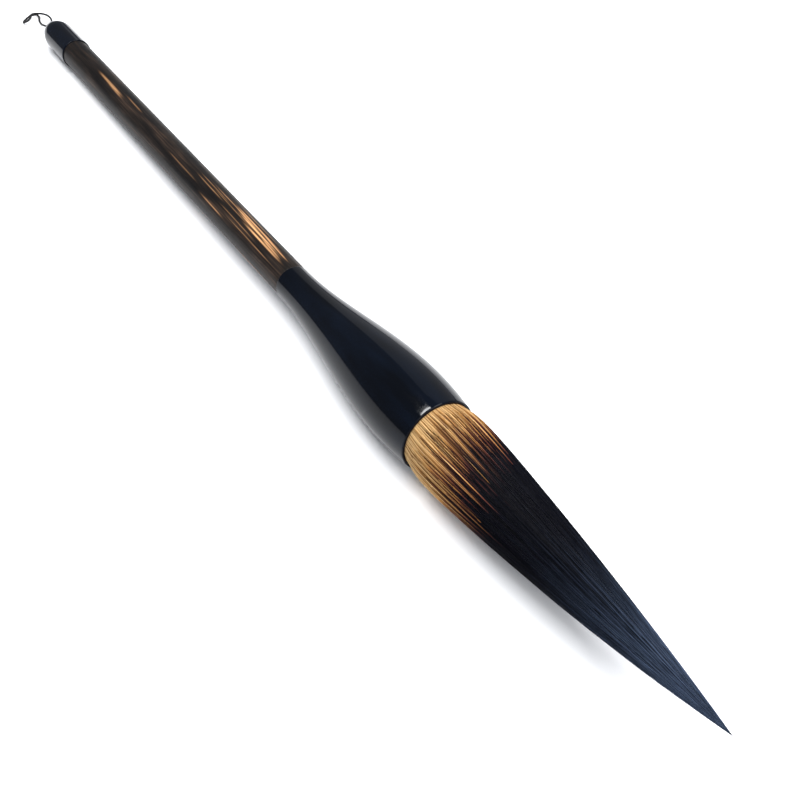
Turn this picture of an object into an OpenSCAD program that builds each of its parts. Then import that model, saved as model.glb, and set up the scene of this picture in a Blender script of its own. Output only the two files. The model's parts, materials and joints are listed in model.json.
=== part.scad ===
// Large calligraphy brush: a turned wooden handle with a glossy end cap and hanging loop,
// a horn-like bell at the other end, and a pointed hair tuft glued into the bell.
// The brush lies at rest on a flat surface, on the bell's belly and the cap's far shoulder.
// Along the brush, a is the distance from the bell's mouth: positive towards the hair's
// point, negative towards the loop. r is the distance from the brush's axis.

/* [Handle] */
// Diameter of the wooden handle
handle_d = 11.2; // [9:0.1:14]
// Length of handle that shows between the bell and the cap
handle_len = 182; // [140:1:230]
// Diameter of the tenons turned on both ends of the handle
tenon_d = 8; // [6.6:0.1:8.6]
// Chamfer on each shoulder of the handle
handle_chamfer = 0.25; // [0.1:0.05:0.4]

/* [End cap] */
// How far the cap stands proud of the handle all round
cap_step = 0.4; // [0.2:0.05:0.8]
// Length of the cap's straight part
cap_straight = 19; // [16:0.5:26]
// Length of the cap's bullet-shaped end
cap_dome = 10; // [8:0.5:13]
// Depth of the socket that takes the handle's tenon
cap_socket = 11; // [8:0.5:12]
// Diameter of the chamber that holds the loop's knot
chamber_d = 5.2; // [5:0.1:6]
// Depth of the knot's chamber beyond the socket
chamber_len = 6; // [5.6:0.1:7]
// Diameter of the hole at the tip of the cap
cord_hole_d = 2.2; // [2:0.1:2.6]

/* [Bell] */
// Length of the bell
bell_len = 78; // [62:1:96]
// How far the bell's narrow end stands proud of the handle
neck_step = 0.1; // [0.05:0.05:0.6]
// Outside diameter of the bell's mouth
mouth_d = 22; // [18:0.5:27]
// How far the belly stands out past the mouth
belly_swell = 1; // [0.5:0.1:2]
// Distance from the mouth back to the widest ring
belly_back = 15; // [12:0.5:20]
// Wall of the bell at its mouth
lip_wall = 0.9; // [0.7:0.1:1.4]
// Depth of the cavity that holds the hair's root
cavity_depth = 24; // [19:0.5:30]
// Depth of the socket that takes the handle's tenon
bell_socket = 22; // [17:0.5:27]

/* [Glue] */
// Thickness of glue round each tenon
tenon_glue = 0.1; // [0.05:0.01:0.2]
// Thickness of glue between the hair's root and the bell
root_glue = 0.35; // [0.25:0.05:0.5]
// Thickness of the resin that seals the butts of the hairs
resin_len = 2.5; // [1.5:0.1:3.5]

/* [Hair tuft] */
// Length of hair outside the mouth
tuft_len = 103; // [84:1:126]
// How far the hair would stand out past the mouth if it were not gathered by it
tuft_swell = 0.55; // [0.3:0.05:0.8]
// Radius of the core of stiff hair, at the mouth
core_r = 6; // [4.8:0.1:7.2]
// Length of the point where the core stands out of the cover hair
bare_point = 6; // [4:0.5:8]

/* [Root winding] */
// Diameter of the thread that ties the hair's root
thread_d = 0.8; // [0.6:0.1:1]
// Number of turns of thread
thread_turns = 5; // [3:1:7]
// Distance from the mouth back to the middle of the winding
winding_back = 13; // [11:0.5:14]

/* [Hanging loop] */
// Diameter of the cord
cord_d = 0.8; // [0.7:0.05:0.95]

/* [Hidden] */
$fn = 96;
eps = 0.01;
tiny_r = 0.15;

// Radii and places along the brush
handle_r = handle_d / 2;
tenon_r = tenon_d / 2;
socket_r = tenon_r + tenon_glue;
cap_r = handle_r + cap_step;
mouth_r = mouth_d / 2;
belly_r = mouth_r + belly_swell;
cavity_r = mouth_r - lip_wall;
neck_r = handle_r + neck_step;
neck_a = -bell_len;
cap_rim_a = neck_a - handle_len;
shoulder_a = cap_rim_a - cap_straight;
apex_a = shoulder_a - cap_dome;
rim_round = 0.35;
socket_gap = 0.5;

// The bell narrows from its belly to its neck along a smooth S, and to its mouth along an arc
mouth_arc_r = (belly_back * belly_back + belly_swell * belly_swell) / (2 * belly_swell);
function smooth(u) = u * u * (3 - 2 * u);
function bell_r(a) =
    a < -belly_back
        ? neck_r + (belly_r - neck_r) * smooth((a + bell_len) / (bell_len - belly_back))
        : belly_r - mouth_arc_r + sqrt(pow(mouth_arc_r, 2) - pow(a + belly_back, 2));

// The cap's end is half an ellipse, cut off where the cord's hole reaches its surface
hole_r = cord_hole_d / 2;
dome_end = cap_dome * sqrt(1 - pow((hole_r + 0.3) / cap_r, 2));
exit_a = shoulder_a - dome_end;
function dome_r(back) = cap_r * sqrt(1 - pow(back / cap_dome, 2));

// The tuft tapers to its point by a power law, gathered a little where it leaves the mouth
taper_power = 1.36;
taper_blunt = 0.92;
gather_len = 4;
tuft_r0 = mouth_r + tuft_swell;
hair_clear = 0.1;
gathered = tuft_r0 - (cavity_r - hair_clear);
function tuft_r(a) =
    a >= tuft_len ? tiny_r
    : max(tiny_r, tuft_r0 * pow(1 - pow(a / tuft_len, taper_power), taper_blunt)
                  - gathered * exp(-a / gather_len));

// The core takes a growing share of the tuft, and all of it where the cover hair ends
cover_end = tuft_len - bare_point;
core_share = core_r / (cavity_r - hair_clear);
function core_r_at(a) = tuft_r(a) * (core_share + (1 - core_share) * pow(a / cover_end, 2));

// The hair bends at four places. Each is a ball in a socket, and the rims beside it are
// bevelled, so that the segments can turn by the angle given without touching.
bend_a = [for (share = [0.19, 0.40, 0.59, 0.77]) share * tuft_len];
bend_limit = [12, 16, 20, 24];
bevel = [for (limit = bend_limit) limit / 2 + 0.8];
ball_share = 0.9;
ball_clear = 0.08;
function ball_r(k) = ball_share * tuft_r(bend_a[k]);

// Root of the hair, inside the bell
root_r = cavity_r - root_glue;
butt_a = -cavity_depth + root_glue;
root_a = butt_a + resin_len;
glue_end_a = -4;

// At rest, the line under the brush touches the cap's shoulder and the bell's belly
bell_stations = [for (i = [0:26]) neck_a + i * bell_len / 26];
belly_points = [for (a = bell_stations) [a, bell_r(a)]];
shoulder_points = concat([[shoulder_a, cap_r]],
                         [for (i = [1:8]) [shoulder_a - dome_end * i / 8, dome_r(dome_end * i / 8)]]);
rest_slope = min([for (c = shoulder_points)
                      max([for (b = belly_points) (b.y - c.y) / (b.x - c.x)])]);
rest_tilt = atan(rest_slope);
rest_height = max([for (p = concat(belly_points, shoulder_points))
                       p.y * cos(rest_tilt) - p.x * sin(rest_tilt)]);
low_x = min([for (p = shoulder_points) p.x * cos(rest_tilt) - p.y * sin(rest_tilt)]);
high_x = tuft_len * cos(rest_tilt) + tiny_r * sin(rest_tilt);
middle_x = (low_x + high_x) / 2;

// Puts the brush, made along +X with its mouth at 0, down on the surface
module at_rest() {
    translate([-middle_x, 0, rest_height]) rotate([0, -rest_tilt, 0]) children();
}

// A flat outline, from points [a, r]
module outline(points) {
    polygon([for (p = points) [p.y, p.x]]);
}

// Turns a flat outline into a solid of revolution about the brush's axis
module revolved() {
    at_rest() rotate([0, 90, 0]) rotate_extrude() children();
}

module turned(points) {
    revolved() outline(points);
}

// A round rod, or a bore, from one place along the axis to another
module rod(from_a, to_a, r) {
    at_rest() translate([from_a, 0, 0]) rotate([0, 90, 0]) cylinder(h = to_a - from_a, r = r);
}

module ball_at(a, y, r) {
    at_rest() translate([a, y, 0]) sphere(r = r);
}

// ---- handle, cap and bell ----

module handle_shaft() {
    c = handle_chamfer;
    color("#4a3c30") union() {
        turned([[cap_rim_a, 0], [cap_rim_a, handle_r - c], [cap_rim_a + c, handle_r],
                [neck_a - c, handle_r], [neck_a, handle_r - c], [neck_a, 0]]);
        rod(neck_a - 1, neck_a + bell_socket - socket_gap, tenon_r);
        rod(cap_rim_a - cap_socket + socket_gap, cap_rim_a + 1, tenon_r);
    }
}

module end_cap() {
    bottom_a = cap_rim_a - cap_socket;
    chamber_end_a = bottom_a - chamber_len;
    color("#0c0f19") difference() {
        turned(concat(
            [[cap_rim_a, 0], [cap_rim_a, cap_r - rim_round], [cap_rim_a - rim_round, cap_r]],
            shoulder_points,
            [[exit_a, 0]]));
        rod(bottom_a, cap_rim_a + eps, socket_r);
        rod(chamber_end_a, bottom_a + eps, chamber_d / 2);
        rod(apex_a, chamber_end_a + eps, hole_r);
    }
}

module bell() {
    lip = 0.3;
    socket_a = neck_a + bell_socket;
    color("#0c0f19") difference() {
        turned(concat([[neck_a, 0]], belly_points, [[0, 0]]));
        rod(neck_a - eps, socket_a, socket_r);
        rod(-cavity_depth, eps, cavity_r);
        turned([[-lip, cavity_r - eps], [eps, cavity_r - eps], [eps, cavity_r + lip]]);
    }
}

// ---- glue ----

// The film round a tenon and the bed in front of it, as one cup open towards the shoulder
module glue_cup(open_a, end_a) {
    toward = sign(end_a - open_a);
    face_a = end_a - toward * socket_gap;
    turned([[open_a, tenon_r], [open_a, socket_r], [end_a, socket_r], [end_a, 0],
            [face_a, 0], [face_a, tenon_r]]);
}

module cap_glue() {
    color("#b58a4c") glue_cup(cap_rim_a - 1, cap_rim_a - cap_socket);
}

module bell_glue() {
    color("#b58a4c") glue_cup(neck_a + 1, neck_a + bell_socket);
}

module root_glue_bed() {
    color("#c79a5a")
        turned([[glue_end_a, root_r], [glue_end_a, cavity_r], [-cavity_depth, cavity_r],
                [-cavity_depth, 0], [butt_a, 0], [butt_a, root_r]]);
}

// ---- hair ----

module root_resin() {
    color("#8a5a24") rod(butt_a, root_a, root_r);
}

module root_winding() {
    r = thread_d / 2;
    first_a = -winding_back - (thread_turns - 1) * r;
    color("#d8cbb0") for (i = [0:thread_turns - 1])
        at_rest() translate([first_a + i * thread_d, 0, 0]) rotate([0, 90, 0])
            rotate_extrude() translate([root_r - r, 0]) circle(r = r, $fn = 24);
}

// The tuft's outlines are flat, and each node turns its own once
function stations(from_a, to_a, n) = [for (i = [0:n]) from_a + (to_a - from_a) * i / n];
flare_end = 0.14 * tuft_len;
core_stations = concat(stations(0, flare_end, 7), stations(flare_end + 3, tuft_len, 26));

module core_outline() {
    outline(concat([[root_a, 0], [root_a, core_r]],
                   [for (a = core_stations) [a, core_r_at(a)]], [[tuft_len, 0]]));
}

// Half a disc about the axis, for the ball or the socket at a bend
module half_disc(a, r) {
    intersection() {
        translate([0, a]) circle(r = r);
        translate([0, a - 2 * r]) square([2 * r, 4 * r]);
    }
}

// The tuft between two places, with both rims bevelled towards the bends' centres
function slice_points(from_a, to_a, from_bevel, to_bevel) =
    let (start = from_a + tuft_r(from_a) * tan(from_bevel),
         end = to_a - tuft_r(to_a) * tan(to_bevel))
    concat([for (a = stations(start, end, 7)) [a, tuft_r(a)]], [[to_a, 0]]);

// Segment k of the free tuft, from its own bend to the next one or to the point
module segment_outline(k) {
    last = k == len(bend_a) - 1;
    difference() {
        union() {
            outline(concat([[bend_a[k], 0]],
                           slice_points(bend_a[k], last ? tuft_len : bend_a[k + 1],
                                        bevel[k], last ? 0 : bevel[k + 1])));
            half_disc(bend_a[k], ball_r(k));
        }
        if (!last) half_disc(bend_a[k + 1], ball_r(k + 1) + ball_clear);
    }
}

// The tuft's root, from the resin to the first bend
module root_outline() {
    difference() {
        outline(concat([[root_a, 0], [root_a, root_r], [glue_end_a, root_r]],
                       slice_points(0, bend_a[0], 0, bevel[0])));
        half_disc(bend_a[0], ball_r(0) + ball_clear);
    }
}

module winding_groove() {
    half = thread_turns * thread_d / 2;
    outline([[-winding_back - half, root_r - thread_d], [-winding_back - half, root_r + 1],
             [-winding_back + half, root_r + 1], [-winding_back + half, root_r - thread_d]]);
}

module hair_core_root() {
    color("#6b4a35") revolved() intersection() {
        root_outline();
        core_outline();
    }
}

module hair_cover_root() {
    color("#b98f5c") revolved() difference() {
        root_outline();
        core_outline();
        winding_groove();
    }
}

module hair_core(k) {
    color("#2a2224") revolved() intersection() {
        segment_outline(k);
        core_outline();
    }
}

module hair_cover(k) {
    color(k == 0 ? "#5a4238" : "#20222a") revolved() difference() {
        segment_outline(k);
        core_outline();
    }
}

// ---- hanging loop ----

cord_r = cord_d / 2;
strand_y = cord_r + 0.05;
knot_a = cap_rim_a - cap_socket - chamber_len / 2;
pivot_a = exit_a - 0.9;
pivot_gap = 0.05;
knot_turn_r = 1.25;

// The knot is two crossed turns of cord drawn tight round the strands between them
module loop_knot() {
    color("#15171a") at_rest() translate([knot_a, 0, 0]) union() {
        for (lean = [-28, 28]) rotate([0, 90, lean])
            rotate_extrude() translate([knot_turn_r, 0]) circle(r = cord_r, $fn = 24);
        sphere(r = knot_turn_r);
    }
}

// The two ends of the cord, from the knot to where the loop hinges outside the cap
module loop_ends() {
    color("#15171a") for (y = [-strand_y, strand_y]) {
        at_rest() translate([pivot_a, y, 0]) rotate([0, 90, 0])
            cylinder(h = knot_a - knot_turn_r - pivot_a, r = cord_r);
        ball_at(pivot_a, y, cord_r);
    }
}

// Where the loop starts, and its route: x and y from there, and z over the surface
pivot_x = pivot_a * cos(rest_tilt) - middle_x;
pivot_z = pivot_a * sin(rest_tilt) + rest_height;
loop_route = [
    [-2, 0.6, 5.7], [-4.5, 1.4, 5.5], [-7, 2.3, 5.1], [-10, 3.1, 4.6], [-13, 3.6, 4.1],
    [-16, 3.8, 3.5], [-19, 3.8, 2.9], [-22, 3.3, 2.3], [-24.5, 2.2, 1.8], [-26, 0.6, 1.6],
    [-25.7, -1, 1.7], [-24, -1.9, 1.9], [-22.1, -2.4, 2.1], [-20.7, -3.5, 2], [-20.5, -5, 1.5],
    [-21.7, -6, 0.9], [-23.3, -5.6, 0.5], [-24.9, -4.2, 0.4], [-26.5, -2.5, 0.4],
    [-27.7, -0.7, 0.4], [-27.7, 1, 0.4], [-26.2, 1.9, 0.4], [-24, 1.6, 0.5], [-21, 0.7, 0.7],
    [-18, 0, 1.2], [-15, -0.5, 1.8], [-12, -0.8, 2.6], [-9, -1, 3.5], [-6, -1, 4.4],
    [-4, -0.8, 5], [-2, -0.6, 5.5]
];
strand_start = cord_r + pivot_gap;
cord_path = [
    for (p = concat([[-strand_start, strand_y, pivot_z]], loop_route,
                    [[-strand_start, -strand_y, pivot_z]]))
        [pivot_x + p.x, p.y, p.z]
];

// A ring of the cord's surface at p, square to the direction d
sides = 8;
function unit(v) = v / norm(v);
function ring(p, d) =
    let (across = unit(cross([0, 0, 1], d)), over = cross(d, across))
    [for (i = [0:sides - 1])
        p + cord_r * (cos(360 * i / sides) * across + sin(360 * i / sides) * over)];

// A closed tube that follows the route's points
module tube(route) {
    n = len(route);
    heading = [for (i = [0:n - 1]) unit(route[min(i + 1, n - 1)] - route[max(i - 1, 0)])];
    points = [for (i = [0:n - 1]) each ring(route[i], heading[i])];
    walls = [for (i = [0:n - 2]) for (j = [0:sides - 1])
        let (k = (j + 1) % sides)
        [i * sides + j, i * sides + k, (i + 1) * sides + k, (i + 1) * sides + j]];
    start = [for (j = [sides - 1:-1:0]) j];
    end = [for (j = [0:sides - 1]) (n - 1) * sides + j];
    polyhedron(points, concat([start], walls, [end]), convexity = 10);
}

module hanging_loop() {
    color("#15171a") tube(cord_path);
}

handle_shaft();
end_cap();
bell();
cap_glue();
bell_glue();
root_glue_bed();
root_resin();
root_winding();
hair_core_root();
hair_cover_root();
for (k = [0:len(bend_a) - 1]) {
    hair_core(k);
    hair_cover(k);
}
loop_knot();
loop_ends();
hanging_loop();
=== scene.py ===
"""Large calligraphy brush: its wood, horn, hair and cord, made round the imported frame.

Along the brush, a is the distance from the bell's mouth: positive towards the hair's point
and negative towards the loop. r is the distance from the brush's axis, and the angle theta
goes round it, from +Y (0) over the top (90 degrees). Everything is in metres.
"""

import json
import math

import bpy
import numpy as np
from mathutils import Matrix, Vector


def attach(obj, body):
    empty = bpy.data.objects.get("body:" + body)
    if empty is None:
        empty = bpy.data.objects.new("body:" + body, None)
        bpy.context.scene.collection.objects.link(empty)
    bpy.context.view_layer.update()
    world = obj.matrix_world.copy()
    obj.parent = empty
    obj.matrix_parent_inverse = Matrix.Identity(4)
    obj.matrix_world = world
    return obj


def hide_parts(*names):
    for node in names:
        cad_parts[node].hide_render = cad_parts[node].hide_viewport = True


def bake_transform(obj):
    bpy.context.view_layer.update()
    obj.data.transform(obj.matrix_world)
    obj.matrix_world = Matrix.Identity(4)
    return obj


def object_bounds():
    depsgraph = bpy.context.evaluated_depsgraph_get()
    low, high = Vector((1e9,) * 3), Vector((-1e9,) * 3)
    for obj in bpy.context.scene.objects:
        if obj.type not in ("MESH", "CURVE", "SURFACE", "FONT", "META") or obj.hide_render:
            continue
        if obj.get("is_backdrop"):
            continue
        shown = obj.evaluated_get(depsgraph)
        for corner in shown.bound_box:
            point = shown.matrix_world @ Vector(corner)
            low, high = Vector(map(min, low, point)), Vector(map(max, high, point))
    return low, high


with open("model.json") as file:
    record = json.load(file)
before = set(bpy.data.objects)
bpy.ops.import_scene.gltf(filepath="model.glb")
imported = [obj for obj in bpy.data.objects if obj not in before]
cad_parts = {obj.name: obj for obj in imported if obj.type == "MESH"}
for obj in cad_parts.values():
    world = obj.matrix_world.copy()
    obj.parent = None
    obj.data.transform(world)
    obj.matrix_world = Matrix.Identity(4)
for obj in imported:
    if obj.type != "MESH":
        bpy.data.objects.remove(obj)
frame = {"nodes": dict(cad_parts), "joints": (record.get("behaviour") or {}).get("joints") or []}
CAD_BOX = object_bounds()

bl_info = {
    "name": "Calligraphy Brush",
    "version": (1, 0, 0),
    "blender": (4, 5, 0),
    "location": "View3D > Sidebar > Brush",
    "description": "Builds the wood, horn, hair and cord of a large calligraphy brush",
    "category": "Add Mesh",
}

MM = 0.001
SEED = 11
NEAR = 0.02 * MM  # between two rings that stand so close that they make an edge

# ---- the brush's own directions, from the hinges that lie on its axis ----

HINGES = {joint["name"]: np.array(joint["pos_m"]) for joint in frame["joints"]}
BEND_NAMES = ("tuft_bend_belly", "tuft_bend_middle", "tuft_bend_shoulder", "tuft_bend_point")
BODIES = ("brush", "tuft_1", "tuft_2", "tuft_3", "tuft_4")
ALONG = HINGES[BEND_NAMES[3]] - HINGES[BEND_NAMES[0]]
ALONG = ALONG / np.linalg.norm(ALONG)
ACROSS = np.array([0.0, 1.0, 0.0])
UPWARD = np.cross(ALONG, ACROSS)
PIVOT = HINGES["loop_swing"]

# Lengths along the brush: the hair outside the bell, the bell, the handle that shows between
# the bell and the cap, and the first bend's distance from the mouth
HAIR_LEN, BELL_LEN, HANDLE_LEN, FIRST_BEND = 103 * MM, 78 * MM, 182 * MM, 19.57 * MM
MOUTH = HINGES[BEND_NAMES[0]] - ALONG * FIRST_BEND


def distance_along(point):
    """How far a point lies in front of the mouth, measured along the axis."""
    return float((np.asarray(point) - MOUTH) @ ALONG)


BENDS = [distance_along(HINGES[name]) for name in BEND_NAMES]
POINT_A, NECK_A, CAP_RIM_A = HAIR_LEN, -BELL_LEN, -BELL_LEN - HANDLE_LEN


# ---- helpers for meshes ----


def linear(hex_colour, alpha=1.0):
    """An sRGB hex colour, such as "c79a5c", as the linear RGBA that nodes take."""
    srgb = np.array([int(hex_colour[i:i + 2], 16) for i in (0, 2, 4)]) / 255
    rgb = np.where(srgb <= 0.04045, srgb / 12.92, ((srgb + 0.055) / 1.055) ** 2.4)
    return (*rgb.tolist(), alpha)


def smooth(x):
    """0 below 0, 1 above 1, and 3x^2 - 2x^3 between them."""
    x = np.clip(x, 0, 1)
    return x * x * (3 - 2 * x)


def place(a, r, theta):
    """The points at distance a along the axis and r from it, at the angle theta round it."""
    a, r, theta = np.broadcast_arrays(a, r, theta)
    return (MOUTH + a[..., None] * ALONG + (r * np.cos(theta))[..., None] * ACROSS
            + (r * np.sin(theta))[..., None] * UPWARD)


def standing(right, up, back, at):
    """The matrix of a camera or lamp with these axes, standing at a point."""
    rows = np.stack([right, up, back, at], 1)
    return Matrix(np.append(rows, [[0.0, 0.0, 0.0, 1.0]], axis=0).tolist())


def new_mesh(name, points, *faces):
    """A mesh object, from an array of points and arrays of 3 or 4-sided faces. The first
    array's faces are shaded smooth, and the others, which close its ends, flat."""
    faces = [np.asarray(group, np.int32) for group in faces if len(group)]
    mesh = bpy.data.meshes.new(name)
    mesh.vertices.add(len(points))
    mesh.vertices.foreach_set("co", np.asarray(points, np.float32).ravel())
    corners = np.concatenate([group.ravel() for group in faces])
    sizes = np.concatenate([np.full(len(group), group.shape[1]) for group in faces])
    mesh.loops.add(len(corners))
    mesh.loops.foreach_set("vertex_index", corners)
    mesh.polygons.add(len(sizes))
    mesh.polygons.foreach_set("loop_start", np.concatenate([[0], np.cumsum(sizes)[:-1]]))
    mesh.polygons.foreach_set("use_smooth", np.arange(len(sizes)) < len(faces[0]))
    mesh.update(calc_edges=True)
    piece = bpy.data.objects.new(name, mesh)
    bpy.context.scene.collection.objects.link(piece)
    return piece


def ring_faces(rings, sides, closed=False):
    """Quads between rings of points; the last ring joins the first one if closed."""
    i = np.arange(rings if closed else rings - 1)[:, None]
    j = np.arange(sides)[None, :]
    k, n = (j + 1) % sides, (i + 1) % rings
    corners = (i * sides + j, i * sides + k, n * sides + k, n * sides + j)
    return np.stack(np.broadcast_arrays(*corners), -1).reshape(-1, 4)


def stations(start, end, count):
    """Even distances from start to end, and one more close to each, so that the flat ends
    don't change how the walls are shaded."""
    return np.sort(np.append(np.linspace(start, end, count), [start + NEAR, end - NEAR]))


def fan_faces(ring, hub, forward):
    """Triangles from a ring to the point in its middle, facing along the axis if forward."""
    after, hubs = np.roll(ring, -1), np.full(len(ring), hub)
    return np.stack([ring, after, hubs] if forward else [after, ring, hubs], -1)


def rounded(*corners):
    """A profile of (a, r, fillet) corners, each rounded by its fillet.

    A corner P with a fillet t becomes the points (1-s)^2 (P+t u) + 2s(1-s) P + s^2 (P+t v),
    for s from 0 to 1, where u and v point to the corners before and after it.
    """
    corners = np.array(corners, float)
    points, s = corners[:, :2], np.linspace(0, 1, 6)[:, None]
    profile = [points[:1]]
    for before, (a, r, fillet), after in zip(points[:-2], corners[1:-1], points[2:]):
        corner = np.array([a, r])
        if fillet == 0:
            profile.append(corner[None])
            continue
        u, v = before - corner, after - corner
        start = corner + fillet * u / np.linalg.norm(u)
        end = corner + fillet * v / np.linalg.norm(v)
        profile.append((1 - s) ** 2 * start + 2 * s * (1 - s) * corner + s ** 2 * end)
    return np.concatenate([*profile, points[-1:]])


def tube(name, rings, middles):
    """A closed tube through rings of points, shaped (rings, sides, 3). Fans of triangles from
    the points in the middles of its first and last ring close it."""
    count, sides = rings.shape[:2]
    first, total = np.arange(sides), count * sides
    return new_mesh(name, np.concatenate([rings.reshape(-1, 3), middles]),
                    ring_faces(count, sides), fan_faces(first, total, False),
                    fan_faces(first + total - sides, total + 1, True))


def turned(name, profile, sides):
    """A solid of revolution: each profile point (a, r) becomes a ring of radius r at a.

    A profile that starts and ends on the axis is closed by a point there; any other has its
    end joined to its start. It runs so that the brush's outside is passed going forward.
    """
    poles = profile[0, 1] == 0
    rings = profile[1:-1] if poles else profile
    theta = 2 * np.pi * np.arange(sides) / sides
    points = place(rings[:, :1], rings[:, 1:], theta)
    if poles:
        return tube(name, points, place(profile[[0, -1], 0], 0.0, 0.0))
    return new_mesh(name, points.reshape(-1, 3), ring_faces(len(rings), sides, closed=True))


def put_attribute(piece, name, kind, values):
    """Stores a value for each point: kind is FLOAT, or FLOAT_VECTOR for three numbers."""
    made = piece.data.attributes.new(name, kind, "POINT")
    made.data.foreach_set("value" if kind == "FLOAT" else "vector",
                          np.asarray(values, np.float32).ravel())


# ---- helpers for materials ----


def fill(material, made, inputs):
    """Sets each input, by name or number, to a value, or links it to another node's output."""
    for name, value in inputs.items():
        if isinstance(value, bpy.types.NodeSocket):
            material.node_tree.links.new(made.inputs[name], value)
        else:
            made.inputs[name].default_value = value


def node(material, kind, inputs, output=0, stops=None, **settings):
    """Adds a node with its settings, its inputs' values and links, and a ramp's stops as
    (place, linear colour) pairs. Returns one of its outputs, by name or number."""
    made = material.node_tree.nodes.new("ShaderNode" + kind)
    for name, value in settings.items():
        setattr(made, name, value)
    if stops:
        elements = made.color_ramp.elements
        elements.remove(elements[1])
        elements[0].position, elements[0].color = stops[0]
        for position, colour in stops[1:]:
            elements.new(position).color = colour
    fill(material, made, inputs)
    return made.outputs[output]


def stretch(width, times):
    """The scale of a pattern with features of that width, and times as long along X."""
    return 1 / (width * times), 1 / width, 1 / width


def scaled(colour, factor):
    """A linear colour made darker, or paler up to white."""
    return (*(min(1.0, factor * part) for part in colour[:3]), 1.0)


def new_material(name, viewport):
    """A material with a Principled shader, which finish_surface fills in."""
    material = bpy.data.materials.new(name)
    material.use_nodes = True
    material.diffuse_color = viewport
    return material


def finish_surface(material, inputs, height=None, depth=0.0):
    """Fills in the shader's inputs, and its bump, which is that deep in metres."""
    if height is not None:
        inputs["Normal"] = node(material, "Bump", {"Height": height, "Strength": 1.0,
                                                   "Distance": depth})
    fill(material, material.node_tree.nodes["Principled BSDF"], inputs)
    return material


def object_place(material):
    """Object coordinates, turned so that X runs along the brush's axis."""
    source = node(material, "TexCoord", {}, "Object")
    tilt = math.atan2(ALONG[2], ALONG[0])
    return node(material, "Mapping", {"Vector": source, "Location": tuple(MOUTH),
                                      "Rotation": (0.0, -tilt, 0.0)}, vector_type="TEXTURE")


def dress(piece, material):
    """Gives a piece one material."""
    piece.data.materials.clear()
    piece.data.materials.append(material)


# ---- sizes, colours and the stage, as a user may change them ----


def size_of(name, millimetres, description):
    """A length that a user may change, with its default in millimetres."""
    return bpy.props.FloatProperty(name=name, default=millimetres * MM, min=0.0,
                                   unit="LENGTH", precision=5, description=description)


def colour_of(name, hex_colour, description):
    """A colour that a user may change, with its default as sRGB hex."""
    return bpy.props.FloatVectorProperty(name=name, default=linear(hex_colour), size=4,
                                         subtype="COLOR", min=0, max=1, description=description)


class BrushSizes(bpy.types.PropertyGroup):
    """Sizes of the turned pieces"""

    handle_d: size_of("Handle", 11.2, "Diameter of the wooden handle")
    tenon_d: size_of("Tenon", 8, "Diameter of the tenons at both ends of the handle")
    tenon_glue: size_of("Tenon glue", 0.1, "Thickness of glue round each tenon")
    end_gap: size_of("Socket gap", 0.5, "Glue between a tenon's end and its socket's bottom")
    cap_step: size_of("Cap step", 0.4, "How far the cap stands proud of the handle")
    cap_straight: size_of("Cap straight", 19, "Length of the cap's straight part")
    cap_dome: size_of("Cap dome", 10, "Length of the cap's bullet-shaped end")
    cap_socket: size_of("Cap socket", 11, "Depth of the cap's socket")
    chamber_d: size_of("Chamber", 5.2, "Diameter of the chamber for the cord's knot")
    chamber_len: size_of("Chamber length", 6, "Depth of the chamber beyond the socket")
    cord_hole_d: size_of("Cord hole", 2.2, "Diameter of the hole at the cap's tip")
    neck_step: size_of("Neck step", 0.1, "How far the bell's neck stands proud of the handle")
    mouth_d: size_of("Mouth", 22, "Outside diameter of the bell's mouth")
    belly_swell: size_of("Belly swell", 1, "How far the belly stands out past the mouth")
    belly_back: size_of("Belly place", 15, "Distance from the mouth to the widest ring")
    lip_wall: size_of("Lip wall", 0.9, "Wall of the bell at its mouth")
    cavity_depth: size_of("Cavity", 24, "Depth of the cavity for the hair's root")
    bell_socket: size_of("Bell socket", 22, "Depth of the bell's socket for the handle")
    cord_d: size_of("Cord", 0.8, "Diameter of the hanging loop's cord")


class BrushHair(bpy.types.PropertyGroup):
    """The hair's amount, thickness and colours"""

    count: bpy.props.IntProperty(name="Cover hairs", default=1400, min=100,
                                 description="Number of hairs modelled on the tuft's surface")
    width: size_of("Hair width", 0.2, "Width of a modelled hair, which stands for a few real ones")
    ridge: size_of("Clump height", 0.16, "Height of the clumps that the hair lies in")
    sway: size_of("Sway", 1.7, "How far the point stands aside from the brush's axis")
    pale: colour_of("Pale gold", "e3c088", "The palest hairs at the root")
    gold: colour_of("Gold", "b98449", "Most of the hair at the root")
    brown: colour_of("Brown", "6a3d31", "Where the gold turns dark")
    dark: colour_of("Dark", "0b0c14", "The hair's dark length")
    # the point colour is a pale blue-grey painted sheen: light on the dark hair's last third, put
    # into its colour
    point: colour_of("Point", "5d6d8a", "The last third of the hair")


class BrushFinish(bpy.types.PropertyGroup):
    """Colours of the wood, the horn and the cord"""

    horn: colour_of("Horn", "05070c", "The bell and the cap")
    horn_cloud: colour_of("Horn cloud", "080e18", "Faint bluish clouds in the horn")
    wood: colour_of("Wood", "1f1b19", "Most of the handle")
    wood_dark: colour_of("Dark grain", "110f10", "The darkest grain")
    wood_light: colour_of("Light grain", "362d28", "The lighter grain")
    wood_gold: colour_of("Golden grain", "f0b47c", "The short golden streaks")
    cord: colour_of("Cord", "0b0b0d", "The hanging loop's cord")


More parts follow.
